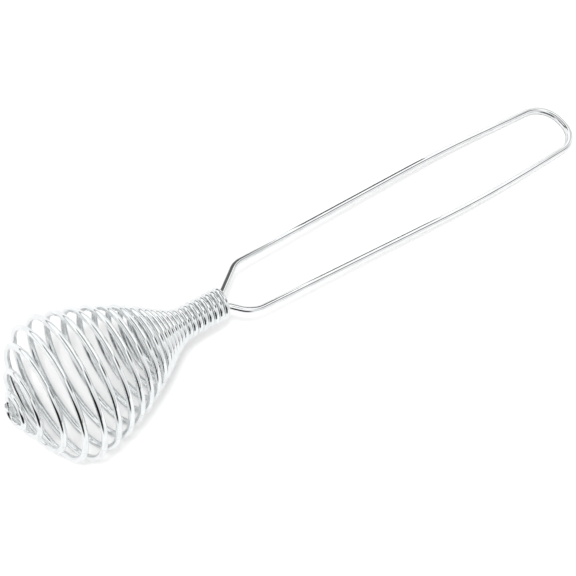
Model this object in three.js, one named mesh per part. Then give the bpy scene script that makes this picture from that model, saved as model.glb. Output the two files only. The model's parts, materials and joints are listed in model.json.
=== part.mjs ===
// Coil whisk: a hairpin handle of round steel wire, and a spring of thinner wire wound on its two shanks.
// Millimetres, +Z up. The whisk lies on a table at z = 0, nose towards -X, handle towards +X.
// The pieces are drawn about the straight axis of the whisk, which is then tilted until both the bulb and
// the end of the handle touch the table. The spring wire is divided into its turns so that it can flex.
import * as THREE from "three";

// Driving dimensions. Distances along the whisk are measured on its axis from the tip of the nose.
const COIL_WIRE = 1.9;
const HANDLE_WIRE = 2.3;
const HANDLE_END = 220;
const HANDLE_END_HALF_WIDTH = 9.2;
const HANDLE_END_BEND = 8.8;
const HANDLE_WIDEST = 11.2;
const HANDLE_WIDEST_AT = 172;
const HANDLE_WIDEST_BEND = 500;
const SHANK_HALF_SPACING = 1.95;
const SHANK_BEND_AT = 74.5;
const SHANK_BEND = 2.5;
const SHANK_START = 61;
const CROWN_AT = 17.3;
const CROWN_RADIUS = 22;
const NECK_AT = 59.5;
const NECK_RADIUS = 4.3;
const NECK_LIMIT = 78;
const CLOSE_SPACING = 1.965;
const CLOSE_FROM_TURN = 13;
const COIL_TURNS = 26;

// The handle is bent by hand: its shoulders differ, and the loop drifts to the right as it leaves the neck.
const LEFT_SHOULDER = { at: 85.5, halfWidth: 9.6, bend: 8 };
const RIGHT_SHOULDER = { at: 80, halfWidth: 7.8, bend: 10 };
const HANDLE_DRIFT = 0.008;

// The outline that the spring is wound to: [distance along the axis, radius to the wire's centreline].
const COIL_OUTLINE = [
  [1.2, 3.2],
  [2.6, 5.2],
  [6.2, 11.9],
  [10.1, 18.1],
  [13.6, 21],
  [CROWN_AT, CROWN_RADIUS],
  [23, 21],
  [30, 19.1],
  [38, 15.8],
  [44.7, 12.2],
  [49.4, 9.1],
  [54, 6.2],
  [57, 4.75],
  [NECK_AT, NECK_RADIUS],
  [NECK_LIMIT, NECK_RADIUS],
];

// How far apart neighbouring turns are, measured along the outline: [turn number from the nose, spacing].
const TURN_SPACINGS = [
  [0, 1.5],
  [1, 5],
  [2, 7.6],
  [2.5, 7.4],
  [3.5, 5.4],
  [5.5, 5.4],
  [9.5, 4.15],
  [CLOSE_FROM_TURN, CLOSE_SPACING],
  [COIL_TURNS, CLOSE_SPACING],
];

// The wire's inner end lies this far round from +Y towards +Z.
const START_ANGLE = THREE.MathUtils.degToRad(26);

// Where the spring is divided, always at the top of a turn: the nose spiral ends at the first cut, the open
// turns follow one by one up to the last cut, and the close-wound cone and neck take the rest.
const FIRST_CUT = 2;
const LAST_CUT = 11;
const NECK_CUT = 18;
const CUT_GAP = 0.3;

// Mesh fineness.
const STEPS_PER_TURN = 18;
const WIRE_SIDES = 8;
const HANDLE_STEPS = 151;
const HANDLE_SIDES = 12;

const outline = new THREE.CatmullRomCurve3(
  COIL_OUTLINE.map(([along, radius]) => new THREE.Vector3(along, radius, 0)),
);
outline.arcLengthDivisions = 600;

// Length of outline used up by a number of turns: the area under the spacing graph.
function outlineUsed(turn) {
  let used = 0;
  for (let i = 1; i < TURN_SPACINGS.length; i += 1) {
    const [from, spacingFrom] = TURN_SPACINGS[i - 1];
    const [to, spacingTo] = TURN_SPACINGS[i];
    const reached = Math.min(turn, to);
    if (reached <= from) break;
    const slope = (spacingTo - spacingFrom) / (to - from);
    used += (reached - from) * (spacingFrom + (slope * (reached - from)) / 2);
  }
  return used;
}

// Where the winding is at a turn number: x is the distance along the axis, y is the radius.
function windingAt(turn) {
  return outline.getPointAt(outlineUsed(turn) / outline.getLength());
}

// The centreline of the spring wire between two turn numbers: a left-handed winding about the X axis.
class CoilCurve extends THREE.Curve {
  constructor(fromTurn, toTurn) {
    super();
    this.fromTurn = fromTurn;
    this.toTurn = toTurn;
  }

  getPoint(t, target = new THREE.Vector3()) {
    const turn = this.fromTurn + (this.toTurn - this.fromTurn) * t;
    const angle = START_ANGLE - 2 * Math.PI * turn;
    const { x, y } = windingAt(turn);
    return target.set(x, y * Math.cos(angle), y * Math.sin(angle));
  }

  // Even steps of angle, so that neighbouring turns have their facets side by side.
  getPointAt(t, target) {
    return this.getPoint(t, target);
  }

  getTangentAt(t, target) {
    return this.getTangent(t, target);
  }
}

// An arc from one point to another that is tangent to the two straight legs meeting at a corner.
class FilletCurve extends THREE.Curve {
  constructor(corner, before, after, radius) {
    super();
    const toBefore = before.clone().sub(corner).normalize();
    const toAfter = after.clone().sub(corner).normalize();
    const half = toBefore.angleTo(toAfter) / 2;
    const setback = radius / Math.tan(half);
    this.start = corner.clone().addScaledVector(toBefore, setback);
    this.end = corner.clone().addScaledVector(toAfter, setback);
    const inward = toBefore.clone().add(toAfter).normalize();
    this.centre = corner.clone().addScaledVector(inward, radius / Math.sin(half));
    this.sweep = Math.PI - 2 * half;
    this.arm = this.start.clone().sub(this.centre);
    this.heading = toBefore.clone().negate().multiplyScalar(radius);
  }

  getPoint(t, target = new THREE.Vector3()) {
    const angle = this.sweep * t;
    return target
      .copy(this.centre)
      .addScaledVector(this.arm, Math.cos(angle))
      .addScaledVector(this.heading, Math.sin(angle));
  }
}

// A path of straight runs joined by fillets. Each corner is [x, y, bend radius].
function bentWirePath(corners) {
  const at = corners.map(([x, y]) => new THREE.Vector3(x, y, 0));
  const path = new THREE.CurvePath();
  let from = at[0];
  for (let i = 1; i < corners.length - 1; i += 1) {
    const fillet = new FilletCurve(at[i], at[i - 1], at[i + 1], corners[i][2]);
    if (from.distanceTo(fillet.start) > 0.001) {
      path.add(new THREE.LineCurve3(from, fillet.start));
    }
    path.add(fillet);
    from = fillet.end;
  }
  path.add(new THREE.LineCurve3(from, at[at.length - 1]));
  return path;
}

// A round wire section. Half a facet of turn puts a flat side, not an edge, across the bending plane.
function wireSection(diameter, sides) {
  const shape = new THREE.Shape();
  for (let i = 0; i < sides; i += 1) {
    const angle = (2 * Math.PI * (i + 0.5)) / sides;
    const x = (diameter / 2) * Math.cos(angle);
    const y = (diameter / 2) * Math.sin(angle);
    if (i === 0) shape.moveTo(x, y);
    else shape.lineTo(x, y);
  }
  shape.closePath();
  return shape;
}

function wire(name, path, diameter, sides, steps, material) {
  const geometry = new THREE.ExtrudeGeometry(wireSection(diameter, sides), {
    extrudePath: path,
    steps,
    bevelEnabled: false,
  });
  const mesh = new THREE.Mesh(geometry, material.clone());
  mesh.name = name;
  return mesh;
}

const handleSteel = new THREE.MeshStandardMaterial({
  color: 0xdfe3e4,
  roughness: 0.16,
  metalness: 1,
});

const springSteel = new THREE.MeshStandardMaterial({
  color: 0xd6dbdd,
  roughness: 0.2,
  metalness: 1,
});

// One wire: up one shank inside the neck, out over a shoulder, along, round the end, and back.
function handleLoop() {
  const leftSide = wireSide(1, LEFT_SHOULDER);
  const rightSide = wireSide(-1, RIGHT_SHOULDER);
  const path = bentWirePath([...leftSide, ...rightSide.reverse()]);
  return wire("handle_loop", path, HANDLE_WIRE, HANDLE_SIDES, HANDLE_STEPS, handleSteel);
}

// The corners of one side of the handle, where side is 1 on the left and -1 on the right.
function wireSide(side, shoulder) {
  const across = (along, halfWidth) => side * halfWidth - HANDLE_DRIFT * (along - SHANK_BEND_AT);
  const end = HANDLE_END - HANDLE_WIRE / 2;
  return [
    [SHANK_START, side * SHANK_HALF_SPACING, 0],
    [SHANK_BEND_AT, side * SHANK_HALF_SPACING, SHANK_BEND],
    [shoulder.at, across(shoulder.at, shoulder.halfWidth), shoulder.bend],
    [HANDLE_WIDEST_AT, across(HANDLE_WIDEST_AT, HANDLE_WIDEST), HANDLE_WIDEST_BEND],
    [end, across(end, HANDLE_END_HALF_WIDTH), HANDLE_END_BEND],
  ];
}

// Turn number of a cut: the wire is at the top of its winding there.
function turnOfCut(cut) {
  return cut - 0.25 + START_ANGLE / (2 * Math.PI);
}

// The gap at a cut is shared between the two pieces that meet there.
function halfGapAt(turn) {
  return CUT_GAP / 2 / (2 * Math.PI * windingAt(turn).y);
}

function coilPiece(name, fromTurn, toTurn) {
  const steps = Math.round((toTurn - fromTurn) * STEPS_PER_TURN);
  return wire(name, new CoilCurve(fromTurn, toTurn), COIL_WIRE, WIRE_SIDES, steps, springSteel);
}

function coilBetweenCuts(name, firstCut, lastCut) {
  const from = turnOfCut(firstCut);
  const to = turnOfCut(lastCut);
  return coilPiece(name, from + halfGapAt(from), to - halfGapAt(to));
}

function springPieces() {
  const noseEnd = turnOfCut(FIRST_CUT);
  const neckStart = turnOfCut(NECK_CUT);
  const pieces = [coilPiece("nose_spiral", 0, noseEnd - halfGapAt(noseEnd))];
  for (let cut = FIRST_CUT; cut < LAST_CUT; cut += 1) {
    pieces.push(coilBetweenCuts("coil_turn_" + (cut - 1), cut, cut + 1));
  }
  pieces.push(coilBetweenCuts("cone_winding", LAST_CUT, NECK_CUT));
  pieces.push(coilPiece("neck_winding", neckStart + halfGapAt(neckStart), COIL_TURNS));
  return pieces;
}

// Height of the lowest point of some pieces.
function lowest(pieces) {
  const heights = pieces.map((piece) => new THREE.Box3().setFromObject(piece, true).min.z);
  return Math.min(...heights);
}

const handle = handleLoop();
const spring = springPieces();
const whisk = new THREE.Group();
whisk.add(handle, ...spring);

// Tilt about the crosswise axis until the bulb and the handle end reach the table: first from the crown's
// radius, then by the little that the bulb still hangs above the handle end.
const contactSpan = HANDLE_END - HANDLE_WIRE / 2 - CROWN_AT;
whisk.rotation.y = Math.asin((CROWN_RADIUS + COIL_WIRE / 2 - HANDLE_WIRE / 2) / contactSpan);
whisk.updateMatrixWorld(true);
whisk.rotation.y -= (lowest(spring) - lowest([handle])) / contactSpan;

// The origin is the middle of the footprint, on the table.
const coilWhisk = new THREE.Group();
coilWhisk.add(whisk);
const box = new THREE.Box3().setFromObject(coilWhisk, true);
whisk.position.set(
  -(box.min.x + box.max.x) / 2,
  -(box.min.y + box.max.y) / 2,
  -box.min.z,
);

export default coilWhisk;
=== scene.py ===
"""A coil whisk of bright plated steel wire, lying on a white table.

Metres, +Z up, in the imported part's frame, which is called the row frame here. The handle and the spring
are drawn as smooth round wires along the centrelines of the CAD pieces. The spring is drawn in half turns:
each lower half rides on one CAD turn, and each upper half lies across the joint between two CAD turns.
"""
import json
import math

import bpy
import numpy as np
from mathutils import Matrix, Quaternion, Vector


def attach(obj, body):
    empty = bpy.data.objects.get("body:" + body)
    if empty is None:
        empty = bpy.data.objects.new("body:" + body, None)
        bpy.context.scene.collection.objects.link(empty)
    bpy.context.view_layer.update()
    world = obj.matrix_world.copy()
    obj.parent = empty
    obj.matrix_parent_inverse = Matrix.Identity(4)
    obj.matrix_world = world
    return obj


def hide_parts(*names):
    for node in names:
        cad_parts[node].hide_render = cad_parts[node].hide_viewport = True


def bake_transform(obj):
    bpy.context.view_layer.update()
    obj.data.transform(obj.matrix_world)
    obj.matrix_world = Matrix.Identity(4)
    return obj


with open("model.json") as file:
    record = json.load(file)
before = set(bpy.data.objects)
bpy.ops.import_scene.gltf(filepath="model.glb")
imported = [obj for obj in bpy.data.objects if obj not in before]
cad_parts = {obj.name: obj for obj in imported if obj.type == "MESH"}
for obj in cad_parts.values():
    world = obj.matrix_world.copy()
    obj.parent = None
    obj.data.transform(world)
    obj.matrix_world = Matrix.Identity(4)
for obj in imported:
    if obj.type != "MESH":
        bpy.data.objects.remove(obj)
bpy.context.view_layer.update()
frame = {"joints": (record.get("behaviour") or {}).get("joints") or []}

MM = 0.001

# ---------------------------------------------------------------------------------------------------------
# Driving dimensions, in millimetres and turns. Distances along the whisk start at the tip of its nose.
# ---------------------------------------------------------------------------------------------------------
COIL_WIRE = 1.9
HANDLE_WIRE = 2.3
HANDLE_END = 220.0
HANDLE_END_HALF_WIDTH = 9.2
HANDLE_END_BEND = 8.8
HANDLE_WIDEST = 11.2
HANDLE_WIDEST_AT = 172.0
HANDLE_WIDEST_BEND = 500.0
SHANK_HALF_SPACING = 1.95
SHANK_BEND_AT = 74.5
SHANK_BEND = 2.5
SHANK_START = 61.0
CLOSE_SPACING = 1.965
CLOSE_FROM_TURN = 13
COIL_TURNS = 26
START_ANGLE = math.radians(26)

# The handle is bent by hand: its shoulders differ (distance along, half width, bend radius), and the loop
# drifts to the right as it leaves the neck.
LEFT_SHOULDER = (85.5, 9.6, 8.0)
RIGHT_SHOULDER = (80.0, 7.8, 10.0)
HANDLE_DRIFT = 0.008

# The outline that the spring is wound to: (distance along the axis, radius to the wire's centreline).
COIL_OUTLINE = [
    (1.2, 3.2), (2.6, 5.2), (6.2, 11.9), (10.1, 18.1), (13.6, 21.0),
    (17.3, 22.0), (23.0, 21.0), (30.0, 19.1), (38.0, 15.8), (44.7, 12.2),
    (49.4, 9.1), (54.0, 6.2), (57.0, 4.75), (59.5, 4.3), (78.0, 4.3),
]

# How far apart neighbouring turns are, measured along the outline: (turn number from the nose, spacing).
TURN_SPACINGS = [
    (0, 1.5), (1, 5.0), (2, 7.6), (2.5, 7.4), (3.5, 5.4),
    (5.5, 5.4), (9.5, 4.15), (CLOSE_FROM_TURN, CLOSE_SPACING), (COIL_TURNS, CLOSE_SPACING),
]

# The CAD cuts the spring at the top of these turns. The joint at HINGE_CUT sits on the whisk's axis.
FIRST_CUT = 2
LAST_CUT = 11
HINGE_CUT = 6

# The wire is at the side of its winding a quarter of a turn before and after each cut.
QUARTER = 0.25

# Fineness of the drawn wires.
RINGS_PER_TURN = 96
COIL_SIDES = 24
HANDLE_SIDES = 40
HANDLE_RING_SPACING = 0.9
BEND_RINGS = 28
OUTLINE_POINTS_PER_SPAN = 200
FINE_STEPS_PER_TURN = 200

# The edge of a wire's true end is rounded with this radius, in this many steps.
END_ROUNDING = 0.18
END_ROUNDING_STEPS = 4


# ---------------------------------------------------------------------------------------------------------
# The whisk's own frame: "along" runs from the nose to the handle, "across" is level, "up" completes it.
# ---------------------------------------------------------------------------------------------------------
joints = {joint["name"]: joint for joint in frame["joints"]}


def turn_of_cut(cut):
    """Turn number of a cut: the wire is at the top of its winding there."""
    return cut - QUARTER + START_ANGLE / (2 * math.pi)


def smooth_outline():
    """The outline as a fine polyline: a centripetal Catmull-Rom curve through its points."""
    points = np.array(COIL_OUTLINE)
    before = 2 * points[0] - points[1]
    after = 2 * points[-1] - points[-2]
    points = np.vstack([before, points, after])
    fine = []
    for i in range(len(points) - 3):
        p0, p1, p2, p3 = points[i:i + 4]
        d0, d1, d2 = (math.sqrt(np.linalg.norm(b - a)) for a, b in ((p0, p1), (p1, p2), (p2, p3)))
        start_slope = ((p1 - p0) / d0 - (p2 - p0) / (d0 + d1) + (p2 - p1) / d1) * d1
        end_slope = ((p2 - p1) / d1 - (p3 - p1) / (d1 + d2) + (p3 - p2) / d2) * d1
        s = np.linspace(0, 1, OUTLINE_POINTS_PER_SPAN, endpoint=False)[:, None]
        square = -3 * p1 + 3 * p2 - 2 * start_slope - end_slope
        cube = 2 * p1 - 2 * p2 + start_slope + end_slope
        fine.append(p1 + start_slope * s + square * s**2 + cube * s**3)
    fine.append(points[-2:-1])
    return np.vstack(fine)


def running_length(points):
    """Distance along a polyline to each of its points."""
    steps = np.linalg.norm(np.diff(points, axis=0), axis=1)
    return np.concatenate([[0.0], np.cumsum(steps)])


outline = smooth_outline()
outline_length = running_length(outline)
fine_turns = np.linspace(0, COIL_TURNS, COIL_TURNS * FINE_STEPS_PER_TURN + 1)
fine_spacings = np.interp(fine_turns, *np.array(TURN_SPACINGS, float).T)
step_used = (fine_spacings[1:] + fine_spacings[:-1]) / 2 * np.diff(fine_turns)
fine_used = np.concatenate([[0.0], np.cumsum(step_used)])


def winding_at(turns):
    """Distance along the axis and radius of the winding at each turn number."""
    used = np.interp(turns, fine_turns, fine_used)
    along = np.interp(used, outline_length, outline[:, 0])
    radius = np.interp(used, outline_length, outline[:, 1])
    return along, radius


def coil_centres(turns):
    """Centreline of the spring wire: a left-handed winding about the axis."""
    along, radius = winding_at(turns)
    angle = START_ANGLE - 2 * math.pi * turns
    return np.stack([along, radius * np.cos(angle), radius * np.sin(angle)], axis=1)


def coil_outward(turns):
    """Unit vectors from the axis to the wire at each turn number."""
    angle = START_ANGLE - 2 * math.pi * turns
    return np.stack([np.zeros_like(angle), np.cos(angle), np.sin(angle)], axis=1)


fine_wire_length = running_length(coil_centres(fine_turns))

along_axis = Vector(joints["bulb_compress"]["axis"]).normalized()
across_axis = Vector((0, 1, 0))
up_axis = along_axis.cross(across_axis).normalized()
hinge_along = winding_at(np.array([turn_of_cut(HINGE_CUT)]))[0][0]
nose_point = Vector(joints["bulb_bend_side"]["pos_m"]) - along_axis * hinge_along * MM
whisk_axes = np.array([along_axis, across_axis, up_axis])


def to_row(points):
    """Points given in millimetres in the whisk's own frame, as metres in the row frame."""
    return np.array(nose_point) + np.asarray(points, float) @ whisk_axes * MM


# ---------------------------------------------------------------------------------------------------------
# Round wire
# ---------------------------------------------------------------------------------------------------------
def rounding_steps():
    """Distances from a wire's end to the rings of its rounded edge, each with how far in the ring lies."""
    steps = []
    for i in range(END_ROUNDING_STEPS + 1):
        angle = math.pi / 2 * i / END_ROUNDING_STEPS
        steps.append((END_ROUNDING * (1 - math.sin(angle)), END_ROUNDING * (1 - math.cos(angle))))
    return steps


def wire_mesh(name, centres, outward, wire_along, radii, sides):
    """A closed round wire with one ring of vertices round each of its centres.

    outward is each ring's zero direction, and wire_along its distance along the wire.
    """
    tangents = np.gradient(centres, axis=0)
    tangents /= np.linalg.norm(tangents, axis=1)[:, None]
    first = outward - np.sum(outward * tangents, axis=1)[:, None] * tangents
    first /= np.linalg.norm(first, axis=1)[:, None]
    second = np.cross(tangents, first)
    rings = len(centres)
    angles = 2 * math.pi * np.arange(sides) / sides
    cosines, sines = np.cos(angles), np.sin(angles)
    normals = first[:, None] * cosines[None, :, None] + second[:, None] * sines[None, :, None]
    points = centres[:, None] + normals * np.asarray(radii)[:, None, None]
    vertices = to_row(points.reshape(-1, 3))
    faces = []
    for i in range(rings - 1):
        for j in range(sides):
            k = (j + 1) % sides
            faces.append((i * sides + j, i * sides + k, (i + 1) * sides + k, (i + 1) * sides + j))
    last = (rings - 1) * sides
    faces.append(tuple(reversed(range(sides))))
    faces.append(tuple(range(last, last + sides)))

    mesh = bpy.data.meshes.new(name)
    mesh.from_pydata(vertices.tolist(), [], faces)
    smooth = np.ones(len(faces), bool)
    smooth[-2:] = False
    mesh.polygons.foreach_set("use_smooth", smooth)
    surface = np.stack(
        [
            np.tile(cosines, rings),
            np.tile(sines, rings),
            np.repeat(wire_along, sides),
        ],
        axis=1,
    )
    attribute = mesh.attributes.new("wire_surface", "FLOAT_VECTOR", "POINT")
    attribute.data.foreach_set("vector", surface.astype(np.float32).ravel())
    set_round_normals(mesh, normals.reshape(-1, 3) @ whisk_axes, np.asarray(radii), sides)
    mesh.update()
    piece = bpy.data.objects.new(name, mesh)
    bpy.context.scene.collection.objects.link(piece)
    return piece


def set_round_normals(mesh, normals, radii, sides):
    """Gives a wire the normals of a perfect round, except at its rounded ends, so that no seam shows."""
    full = np.isclose(radii, radii.max())
    loop_normals = np.zeros((len(mesh.loops), 3))
    for polygon in mesh.polygons:
        if len(polygon.vertices) != 4:
            continue
        ring_numbers = [v // sides for v in polygon.vertices]
        if not all(full[r] for r in ring_numbers):
            continue
        for loop, vertex in zip(polygon.loop_indices, polygon.vertices):
            loop_normals[loop] = normals[vertex]
    mesh.normals_split_custom_set(loop_normals.tolist())


def coil_piece(name, from_turn, to_turn, true_start=False, true_end=False):
    """Part of the spring wire between two turn numbers. A true end of the wire is rounded off."""
    count = max(2, round((to_turn - from_turn) * RINGS_PER_TURN) + 1)
    turns = np.linspace(from_turn, to_turn, count)
    radii = np.full(count, COIL_WIRE / 2)
    if true_start:
        turns, radii = round_off_start(turns, radii)
    if true_end:
        flipped, radii = round_off_start(-turns[::-1], radii[::-1])
        turns, radii = -flipped[::-1], radii[::-1]
    wire_along = np.interp(turns, fine_turns, fine_wire_length)
    return wire_mesh(name, coil_centres(turns), coil_outward(turns), wire_along, radii, COIL_SIDES)


def round_off_start(turns, radii):
    """Puts the rings of a rounded edge before the first full ring."""
    radius_there = winding_at(np.array([abs(turns[0])]))[1][0]
    turn_per_mm = 1 / (2 * math.pi * radius_there)
    edge = sorted(rounding_steps())
    edge_turns = [turns[0] + distance * turn_per_mm for distance, _ in edge]
    edge_radii = [radii[0] - inward for _, inward in edge]
    keep = turns > edge_turns[-1]
    turns = np.concatenate([edge_turns, turns[keep]])
    radii = np.concatenate([edge_radii, radii[keep]])
    return turns, radii


# ---------------------------------------------------------------------------------------------------------
# The handle: one wire, up one shank inside the neck, out over a shoulder, round the end and back
# ---------------------------------------------------------------------------------------------------------
def side_corners(side, shoulder):
    """Corners of one side of the handle's path, as (along, across, bend radius). side is 1 on the left."""
    shoulder_at, shoulder_half_width, shoulder_bend = shoulder
    end = HANDLE_END - HANDLE_WIRE / 2

    def across(along, half_width):
        return side * half_width - HANDLE_DRIFT * (along - SHANK_BEND_AT)

    return [
        (SHANK_START, side * SHANK_HALF_SPACING, 0),
        (SHANK_BEND_AT, side * SHANK_HALF_SPACING, SHANK_BEND),
        (shoulder_at, across(shoulder_at, shoulder_half_width), shoulder_bend),
        (HANDLE_WIDEST_AT, across(HANDLE_WIDEST_AT, HANDLE_WIDEST), HANDLE_WIDEST_BEND),
        (end, across(end, HANDLE_END_HALF_WIDTH), HANDLE_END_BEND),
    ]


def straight_run(start, end):
    """Points along a straight run, without its last point."""
    count = max(1, round(np.linalg.norm(end - start) / HANDLE_RING_SPACING))
    share = np.linspace(0, 1, count, endpoint=False)[:, None]
    return start + (end - start) * share


def bend(corner, before, after, radius):
    """Points along the arc that is tangent to both legs of a corner."""
    to_before = (before - corner) / np.linalg.norm(before - corner)
    to_after = (after - corner) / np.linalg.norm(after - corner)
    half = math.acos(float(to_before @ to_after)) / 2
    inward = to_before + to_after
    centre = corner + inward / np.linalg.norm(inward) * radius / math.sin(half)
    arm = corner + to_before * radius / math.tan(half) - centre
    heading = -to_before * radius
    sweep = np.linspace(0, math.pi - 2 * half, BEND_RINGS)[:, None]
    return centre + arm * np.cos(sweep) + heading * np.sin(sweep)


def handle_centres():
    """Centreline of the handle wire, all in the level plane through the whisk's axis."""
    corners = side_corners(1, LEFT_SHOULDER) + side_corners(-1, RIGHT_SHOULDER)[::-1]
    places = [np.array(corner[:2]) for corner in corners]
    path = []
    at = places[0]
    for i in range(1, len(corners) - 1):
        arc = bend(places[i], places[i - 1], places[i + 1], corners[i][2])
        path.append(straight_run(at, arc[0]))
        path.append(arc[:-1])
        at = arc[-1]
    path.append(straight_run(at, places[-1]))
    path.append(places[-1][None, :])
    flat = np.vstack(path)
    return np.column_stack([flat, np.zeros(len(flat))])


def handle_piece():
    centres = handle_centres()
    radii = np.full(len(centres), HANDLE_WIRE / 2)
    outward = np.tile([0.0, 0.0, 1.0], (len(centres), 1))
    return wire_mesh("handle_wire", centres, outward, running_length(centres), radii, HANDLE_SIDES)


# ---------------------------------------------------------------------------------------------------------
# Materials
# ---------------------------------------------------------------------------------------------------------
def node(tree, kind, **inputs):
    """Adds a shader node and sets its inputs by name."""
    made = tree.nodes.new(kind)
    for key, value in inputs.items():
        made.inputs[key.replace("_", " ")].default_value = value
    return made


def stretched_noise(tree, source, stretch, detail, roughness=0.55):
    """Noise over the wire's surface, with its own scale across the wire and along it."""
    mapping = node(tree, "ShaderNodeMapping")
    mapping.inputs["Scale"].default_value = stretch
    noise = node(tree, "ShaderNodeTexNoise", Scale=1.0, Detail=detail, Roughness=roughness)
    tree.links.new(source, mapping.inputs["Vector"])
    tree.links.new(mapping.outputs["Vector"], noise.inputs["Vector"])
    return noise.outputs["Fac"]


def remap(tree, source, low, high, to_low, to_high):
    """Turns values from low to high into values from to_low to to_high, and holds them there outside."""
    ramp = tree.nodes.new("ShaderNodeMapRange")
    for key, value in (("From Min", low), ("From Max", high), ("To Min", to_low), ("To Max", to_high)):
        ramp.inputs[key].default_value = value
    tree.links.new(source, ramp.inputs["Value"])
    return ramp.outputs["Result"]


def combine(tree, kind, first, second):
    """One arithmetic step on two values."""
    step = tree.nodes.new("ShaderNodeMath")
    step.operation = kind
    tree.links.new(first, step.inputs[0])
    if hasattr(second, "is_output"):
        tree.links.new(second, step.inputs[1])
    else:
        step.inputs[1].default_value = second
    return step.outputs["Value"]


# The marks on the plating are noises over the wire's surface: each one's scale across the wire (twice) and
# along it, and the noise levels between which it comes in.
DRAWN_LINES = (26.0, 26.0, 0.5)
DRAWN_LINE_LEVELS = (0.4, 0.7)
WAVES = (1.1, 1.1, 0.16)
HAZE = (1.6, 1.6, 0.22)
HAZE_TONE_LEVELS = (0.42, 0.72)
HAZE_ROUGHNESS_LEVELS = (0.35, 0.75)
SPECKS = (7.0, 7.0, 4.5)
SPECK_TONE_LEVELS = (0.66, 0.78)
SPECK_ROUGHNESS_LEVELS = (0.66, 0.8)

# Roughness of clean and of hazy plating, and what a drawn line adds to it, as shares of the roughness that
# a wire is given.
CLEAN_SHARE = 0.7
HAZY_SHARE = 1.9
LINE_SHARE = 0.6

# How far a speck goes to the dull colour, and what it adds to the roughness.
SPECK_DULLNESS = 0.8
SPECK_ROUGHNESS = 0.25

# Height of all bumps, and how strongly the waves show.
BUMP_HEIGHT = 0.01 * MM
WAVE_DEPTH = 0.06


def plated_wire(name, bright, dull, roughness, line_depth):
    """Chrome on drawn steel wire: fine lines along the wire, soft haze, small dull specks, faint waves."""
    material = bpy.data.materials.new(name)
    material.use_nodes = True
    tree = material.node_tree
    shader = tree.nodes["Principled BSDF"]
    shader.inputs["Metallic"].default_value = 1.0
    place = tree.nodes.new("ShaderNodeAttribute")
    place.attribute_name = "wire_surface"
    surface = place.outputs["Vector"]

    lines = stretched_noise(tree, surface, DRAWN_LINES, detail=3.0)
    waves = stretched_noise(tree, surface, WAVES, detail=2.0)
    haze = stretched_noise(tree, surface, HAZE, detail=4.0)
    specks = stretched_noise(tree, surface, SPECKS, detail=2.0, roughness=0.6)

    tone = tree.nodes.new("ShaderNodeMix")
    tone.data_type = "RGBA"
    tone.inputs["A"].default_value = (*bright, 1)
    tone.inputs["B"].default_value = (*dull, 1)
    haze_share = remap(tree, haze, *HAZE_TONE_LEVELS, 0.0, 1.0)
    speck_share = remap(tree, specks, *SPECK_TONE_LEVELS, 0.0, SPECK_DULLNESS)
    share = combine(tree, "MAXIMUM", haze_share, speck_share)
    tree.links.new(share, tone.inputs["Factor"])
    tree.links.new(tone.outputs["Result"], shader.inputs["Base Color"])

    clean_roughness = roughness * CLEAN_SHARE
    hazy_roughness = roughness * HAZY_SHARE
    haze_roughness = remap(tree, haze, *HAZE_ROUGHNESS_LEVELS, clean_roughness, hazy_roughness)
    line_roughness = remap(tree, lines, *DRAWN_LINE_LEVELS, 0.0, roughness * LINE_SHARE)
    speck_roughness = remap(tree, specks, *SPECK_ROUGHNESS_LEVELS, 0.0, SPECK_ROUGHNESS)
    total = combine(tree, "ADD", haze_roughness, line_roughness)
    total = combine(tree, "ADD", total, speck_roughness)
    tree.links.new(total, shader.inputs["Roughness"])

    fine_bump = node(tree, "ShaderNodeBump", Strength=line_depth)
    fine_bump.inputs["Distance"].default_value = BUMP_HEIGHT
    tree.links.new(lines, fine_bump.inputs["Height"])
    wavy_bump = node(tree, "ShaderNodeBump", Strength=WAVE_DEPTH)
    wavy_bump.inputs["Distance"].default_value = BUMP_HEIGHT
    tree.links.new(waves, wavy_bump.inputs["Height"])
    tree.links.new(fine_bump.outputs["Normal"], wavy_bump.inputs["Normal"])
    tree.links.new(wavy_bump.outputs["Normal"], shader.inputs["Normal"])
    return material


handle_plating = plated_wire(
    "handle_plating",
    bright=(0.93, 0.945, 0.95),
    dull=(0.80, 0.82, 0.83),
    roughness=0.04,
    line_depth=0.12,
)
spring_plating = plated_wire(
    "spring_plating",
    bright=(0.90, 0.92, 0.925),
    dull=(0.76, 0.785, 0.80),
    roughness=0.05,
    line_depth=0.15,
)


# ---------------------------------------------------------------------------------------------------------
# The whisk
# ---------------------------------------------------------------------------------------------------------
def finish_piece(piece, material):
    """Gives a piece its Blender material."""
    piece.data.materials.append(material)


def build_handle():
    piece = handle_piece()
    finish_piece(piece, handle_plating)
    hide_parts("handle_loop")
    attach(piece, "handle")


def build_fixed_winding():
    """The part of the spring that is fast on the handle: half an open turn, the cone and the neck."""
    start = turn_of_cut(LAST_CUT) + QUARTER
    piece = coil_piece("cone_and_neck_winding", start, COIL_TURNS, true_end=True)
    finish_piece(piece, spring_plating)
    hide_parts("cone_winding", "neck_winding")
    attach(piece, "handle")


def build_nose():
    """The wire's inner end, spiralling out to the side of the first cut."""
    end = turn_of_cut(FIRST_CUT) - QUARTER
    piece = coil_piece("nose_spiral_wire", 0.0, end, true_start=True)
    finish_piece(piece, spring_plating)
    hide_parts("nose_spiral")
    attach(piece, "nose_spiral")


def build_lower_half(number):
    """The half of a turn that passes under the axis."""
    cut = number + 1
    start = turn_of_cut(cut) + QUARTER
    piece = coil_piece("lower_half_turn_" + str(number), start, start + 2 * QUARTER)
    finish_piece(piece, spring_plating)
    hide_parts("coil_turn_" + str(number))
    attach(piece, "coil_turn_" + str(number))


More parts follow.
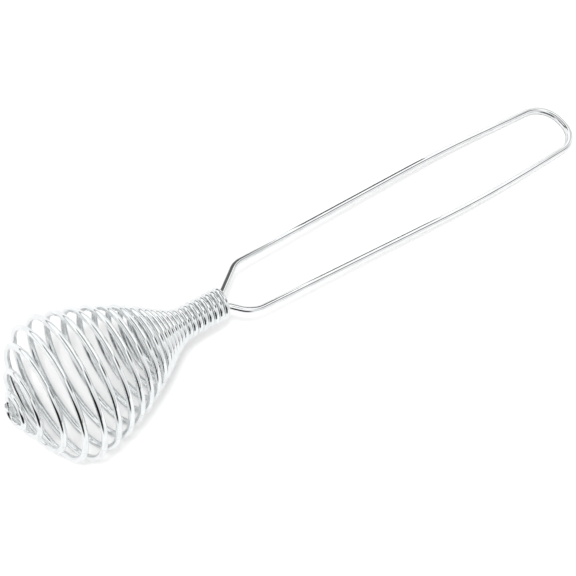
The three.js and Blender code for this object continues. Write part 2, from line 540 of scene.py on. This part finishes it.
def build_upper_half(cut):
    """The half turn over a cut, between the body on the nose side and the body on the handle side."""
    middle = turn_of_cut(cut)
    piece = coil_piece("upper_half_turn_" + str(cut), middle - QUARTER, middle + QUARTER)
    finish_piece(piece, spring_plating)
    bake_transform(piece)


build_handle()
build_fixed_winding()
build_nose()
for cut in range(FIRST_CUT, LAST_CUT + 1):
    build_upper_half(cut)
for number in range(1, LAST_CUT - 1):
    build_lower_half(number)


# ---------------------------------------------------------------------------------------------------------
# Table, light and camera
# ---------------------------------------------------------------------------------------------------------
# Where the camera is, what it looks at and the nearest distance that it sees, in metres, and its lens and
# sensor in millimetres. It is rolled about its line of sight.
CAMERA_AT = (-0.1732, -0.1648, 0.3959)
CAMERA_TARGET = (-0.0140, -0.0044, 0.0100)
CAMERA_ROLL = math.radians(9.16)
CAMERA_LENS = 90.2
CAMERA_SENSOR = 36.0
NEAREST_SEEN = 0.01

TABLE_SIZE = 6.0
TABLE_ROUGHNESS = 0.6

# The table's white, and a painted reflection on it: where the plating mirrors the table, its colour
# goes part of the way to a dark tone. In the front gap it goes all the way.
TABLE_WHITE = 0.93
TABLE_PAINTED_REFLECTION_DARK = 0.02
TABLE_PAINTED_REFLECTION_SHARE = 0.22

# How bright the surroundings are as the plating mirrors them, as they light the table, and as the camera
# sees them.
SCREEN_LIGHT = 1.12
ROOM_LIGHT = 0.77
BACKDROP = 0.97

# Dark gaps between the studio's white screens, as the plating mirrors them:
# (azimuth, elevation), (half length, half width), lengthwise direction, softness, darkness.
# Angles are in degrees, and azimuths are turned from +Y towards -X.
FRONT_GAP = ((126, 3), (38, 26), (0.8, -0.6, 0), 0.15, 0.99)
DARK_GAPS = [
    FRONT_GAP,
    ((-124, 43), (26, 10), (1, 0, 0), 0.35, 0.95),
    ((97, 40), (22, 9), (0, 1, 0), 0.35, 0.6),
    ((182, 26), (32, 24), (1, 0, 0), 0.5, 0.3),
]

# The outline of a gap: 2 would make it an ellipse, and a large number a rectangle. The same outline lies
# on the opposite side of the surroundings, where it is left out with a border this soft.
GAP_SQUARENESS = 3.0
OPPOSITE_SIDE_BLUR = 0.05

# A narrow dark band all round, just above the table's far edge: the sines of its two elevations.
SKIRTING_GAP = (math.sin(math.radians(2)), math.sin(math.radians(8)))
SKIRTING_BLUR = 0.03
SKIRTING_DARKNESS = 0.65

# A dark seam between two screens overhead, running along Y. The numbers are components of unit directions:
# X for its place and width, Y for where it ends, and Z for the height from which it is there.
CEILING_SEAM_AT = -0.2
CEILING_SEAM_HALF_WIDTH = 0.2
CEILING_SEAM_BLUR = 0.02
CEILING_SEAM_ENDS = (-0.31, -0.19)
CEILING_SEAM_FROM = (0.6, 0.7)
CEILING_SEAM_DARKNESS = 0.95

# Black cards held near the whisk, seen only mirrored in the plating. Millimetres in the row frame:
# name, middle, half of one side, half of the other side, darkness.
CARDS = [
    ("leg_card", (-7, 42, 50), (24, -30, 24), (17, 14, 0), 0.88),
    ("prong_card", (49, 34, 30), (29, 0, -3.1), (14, 4, 19), 0.92),
    ("end_card", (166, 18, 46), (15, 5, -22), (-6, 24, 0), 0.4),
]
CARD_BLACK = 0.004

# Soft lights over the camera's shoulder: name, where it comes from, strength, spread in degrees.
LIGHTS = [
    ("fill", (-0.36, -0.36, 0.86), 1.25, 50),
    ("key", (-0.23, -0.23, 0.95), 1.2, 9),
]


def grey(value):
    """A colour without tint."""
    return value, value, value, 1


def dot_product(tree, direction, axis):
    """How far a direction points along an axis."""
    step = tree.nodes.new("ShaderNodeVectorMath")
    step.operation = "DOT_PRODUCT"
    step.inputs[1].default_value = axis
    tree.links.new(direction, step.inputs[0])
    return step.outputs["Value"]


def band(tree, value, low, high, blur):
    """1 where the value lies between low and high, falling softly to 0 outside."""
    rising = remap(tree, value, low - blur, low + blur, 0.0, 1.0)
    falling = remap(tree, value, high - blur, high + blur, 1.0, 0.0)
    return combine(tree, "MULTIPLY", rising, falling)


def gap_in_screens(tree, direction, centre, half_size, lengthwise, softness):
    """1 inside a gap with a rounded outline, falling softly to 0 outside it."""
    azimuth, elevation = (math.radians(value) for value in centre)
    middle = Vector((
        -math.sin(azimuth) * math.cos(elevation),
        math.cos(azimuth) * math.cos(elevation),
        math.sin(elevation),
    ))
    long_axis = Vector(lengthwise)
    long_axis = (long_axis - middle * long_axis.dot(middle)).normalized()
    total = None
    for axis, half in ((long_axis, half_size[0]), (middle.cross(long_axis), half_size[1])):
        offset = combine(tree, "ABSOLUTE", dot_product(tree, direction, axis), 0.0)
        offset = combine(tree, "DIVIDE", offset, math.sin(math.radians(half)))
        offset = combine(tree, "POWER", offset, GAP_SQUARENESS)
        total = offset if total is None else combine(tree, "ADD", total, offset)
    reach = combine(tree, "POWER", total, 1 / GAP_SQUARENESS)
    inside = remap(tree, reach, 1.0 - softness, 1.0 + softness, 1.0, 0.0)
    same_side = remap(tree, dot_product(tree, direction, middle), 0.0, OPPOSITE_SIDE_BLUR, 0.0, 1.0)
    return combine(tree, "MULTIPLY", inside, same_side)


def ceiling_seam(tree, direction):
    """1 in the seam between the two screens overhead, falling softly to 0 outside it."""
    low = CEILING_SEAM_AT - CEILING_SEAM_HALF_WIDTH
    high = CEILING_SEAM_AT + CEILING_SEAM_HALF_WIDTH
    seam = band(tree, dot_product(tree, direction, (1, 0, 0)), low, high, CEILING_SEAM_BLUR)
    overhead = remap(tree, dot_product(tree, direction, (0, 0, 1)), *CEILING_SEAM_FROM, 0.0, 1.0)
    up_to_end = remap(tree, dot_product(tree, direction, (0, 1, 0)), *CEILING_SEAM_ENDS, 0.0, 1.0)
    seam = combine(tree, "MULTIPLY", seam, overhead)
    return combine(tree, "MULTIPLY", seam, up_to_end)


def build_table():
    """A plain white table with a painted reflection: mirrored in the plating, its colour is made a little
    darker, and dark in the front gap.
    """
    bpy.ops.mesh.primitive_plane_add(size=TABLE_SIZE, location=(0, 0, 0))
    table = bpy.context.object
    table.name = "table"
    material = bpy.data.materials.new("table_white_and_painted_reflection")
    material.use_nodes = True
    tree = material.node_tree
    shader = tree.nodes["Principled BSDF"]
    shader.inputs["Roughness"].default_value = TABLE_ROUGHNESS
    shader.inputs["Specular IOR Level"].default_value = 0.0
    incoming = tree.nodes.new("ShaderNodeNewGeometry").outputs["Incoming"]
    onward = tree.nodes.new("ShaderNodeVectorMath")
    onward.operation = "SCALE"
    onward.inputs["Scale"].default_value = -1.0
    tree.links.new(incoming, onward.inputs[0])
    gap = gap_in_screens(tree, onward.outputs["Vector"], *FRONT_GAP[:4])
    # Painted reflection: only for rays mirrored off the plating does the table's colour go towards the
    # dark tone, all the way in the front gap.
    darkness = remap(tree, gap, 0.0, 1.0, TABLE_PAINTED_REFLECTION_SHARE, 1.0)
    mirrored = tree.nodes.new("ShaderNodeLightPath").outputs["Is Glossy Ray"]
    darkness = combine(tree, "MULTIPLY", darkness, mirrored)
    tone = tree.nodes.new("ShaderNodeMix")
    tone.data_type = "RGBA"
    tone.inputs["A"].default_value = grey(TABLE_WHITE)
    tone.inputs["B"].default_value = grey(TABLE_PAINTED_REFLECTION_DARK)
    tree.links.new(darkness, tone.inputs["Factor"])
    tree.links.new(tone.outputs["Result"], shader.inputs["Base Color"])
    table.data.materials.append(material)


def build_world():
    """Even white light for the table, and white screens with dark gaps for the plating to mirror."""
    world = bpy.data.worlds.new("studio")
    bpy.context.scene.world = world
    world.use_nodes = True
    tree = world.node_tree
    background = tree.nodes["Background"]
    direction = tree.nodes.new("ShaderNodeTexCoord").outputs["Generated"]
    height = dot_product(tree, direction, (0, 0, 1))

    gaps = [(gap_in_screens(tree, direction, *gap[:4]), gap[4]) for gap in DARK_GAPS]
    gaps.append((band(tree, height, *SKIRTING_GAP, SKIRTING_BLUR), SKIRTING_DARKNESS))
    gaps.append((ceiling_seam(tree, direction), CEILING_SEAM_DARKNESS))
    screens = None
    for gap, darkness in gaps:
        lit = remap(tree, gap, 0.0, 1.0, SCREEN_LIGHT, SCREEN_LIGHT * (1 - darkness))
        screens = lit if screens is None else combine(tree, "MINIMUM", screens, lit)

    ray = tree.nodes.new("ShaderNodeLightPath")
    plain = remap(tree, ray.outputs["Is Camera Ray"], 0.0, 1.0, ROOM_LIGHT, BACKDROP)
    choice = tree.nodes.new("ShaderNodeMix")
    choice.data_type = "FLOAT"
    tree.links.new(ray.outputs["Is Glossy Ray"], choice.inputs["Factor"])
    tree.links.new(plain, choice.inputs["A"])
    tree.links.new(screens, choice.inputs["B"])
    tree.links.new(choice.outputs["Result"], background.inputs["Strength"])
    background.inputs["Color"].default_value = grey(1)


def build_card(name, middle, half_side, other_half_side, darkness):
    """A flat black card. Its darkness is its opacity."""
    middle, one, other = Vector(middle), Vector(half_side), Vector(other_half_side)
    corners = [
        middle - one - other,
        middle + one - other,
        middle + one + other,
        middle - one + other,
    ]
    mesh = bpy.data.meshes.new(name)
    mesh.from_pydata([corner * MM for corner in corners], [], [(0, 1, 2, 3)])
    card = bpy.data.objects.new(name, mesh)
    bpy.context.scene.collection.objects.link(card)
    material = bpy.data.materials.new(name + "_cloth")
    material.use_nodes = True
    cloth = material.node_tree.nodes["Principled BSDF"]
    cloth.inputs["Base Color"].default_value = grey(CARD_BLACK)
    cloth.inputs["Specular IOR Level"].default_value = 0.0
    cloth.inputs["Alpha"].default_value = darkness
    mesh.materials.append(material)
    card.visible_camera = False
    card.visible_diffuse = False
    card.visible_transmission = False
    card.visible_shadow = False


def build_light(name, from_direction, strength, spread):
    """A distant light that isn't mirrored in the plating, which mirrors the screens instead."""
    data = bpy.data.lights.new(name, "SUN")
    data.energy = strength
    data.angle = math.radians(spread)
    light = bpy.data.objects.new(name, data)
    bpy.context.scene.collection.objects.link(light)
    light.visible_glossy = False
    light.rotation_mode = "QUATERNION"
    light.rotation_quaternion = Vector(from_direction).to_track_quat("Z", "Y")


def build_camera():
    data = bpy.data.cameras.new("camera")
    camera = bpy.data.objects.new("camera", data)
    bpy.context.scene.collection.objects.link(camera)
    data.sensor_width = CAMERA_SENSOR
    data.lens = CAMERA_LENS
    data.clip_start = NEAREST_SEEN
    camera.location = CAMERA_AT
    toward = (Vector(CAMERA_TARGET) - Vector(CAMERA_AT)).normalized()
    level = toward.to_track_quat("-Z", "Y")
    camera.rotation_mode = "QUATERNION"
    camera.rotation_quaternion = level @ Quaternion((0, 0, 1), CAMERA_ROLL)
    bpy.context.scene.camera = camera


build_table()
build_world()
for light in LIGHTS:
    build_light(*light)
for card in CARDS:
    build_card(*card)
build_camera()
bpy.context.scene.view_settings.view_transform = "Standard"
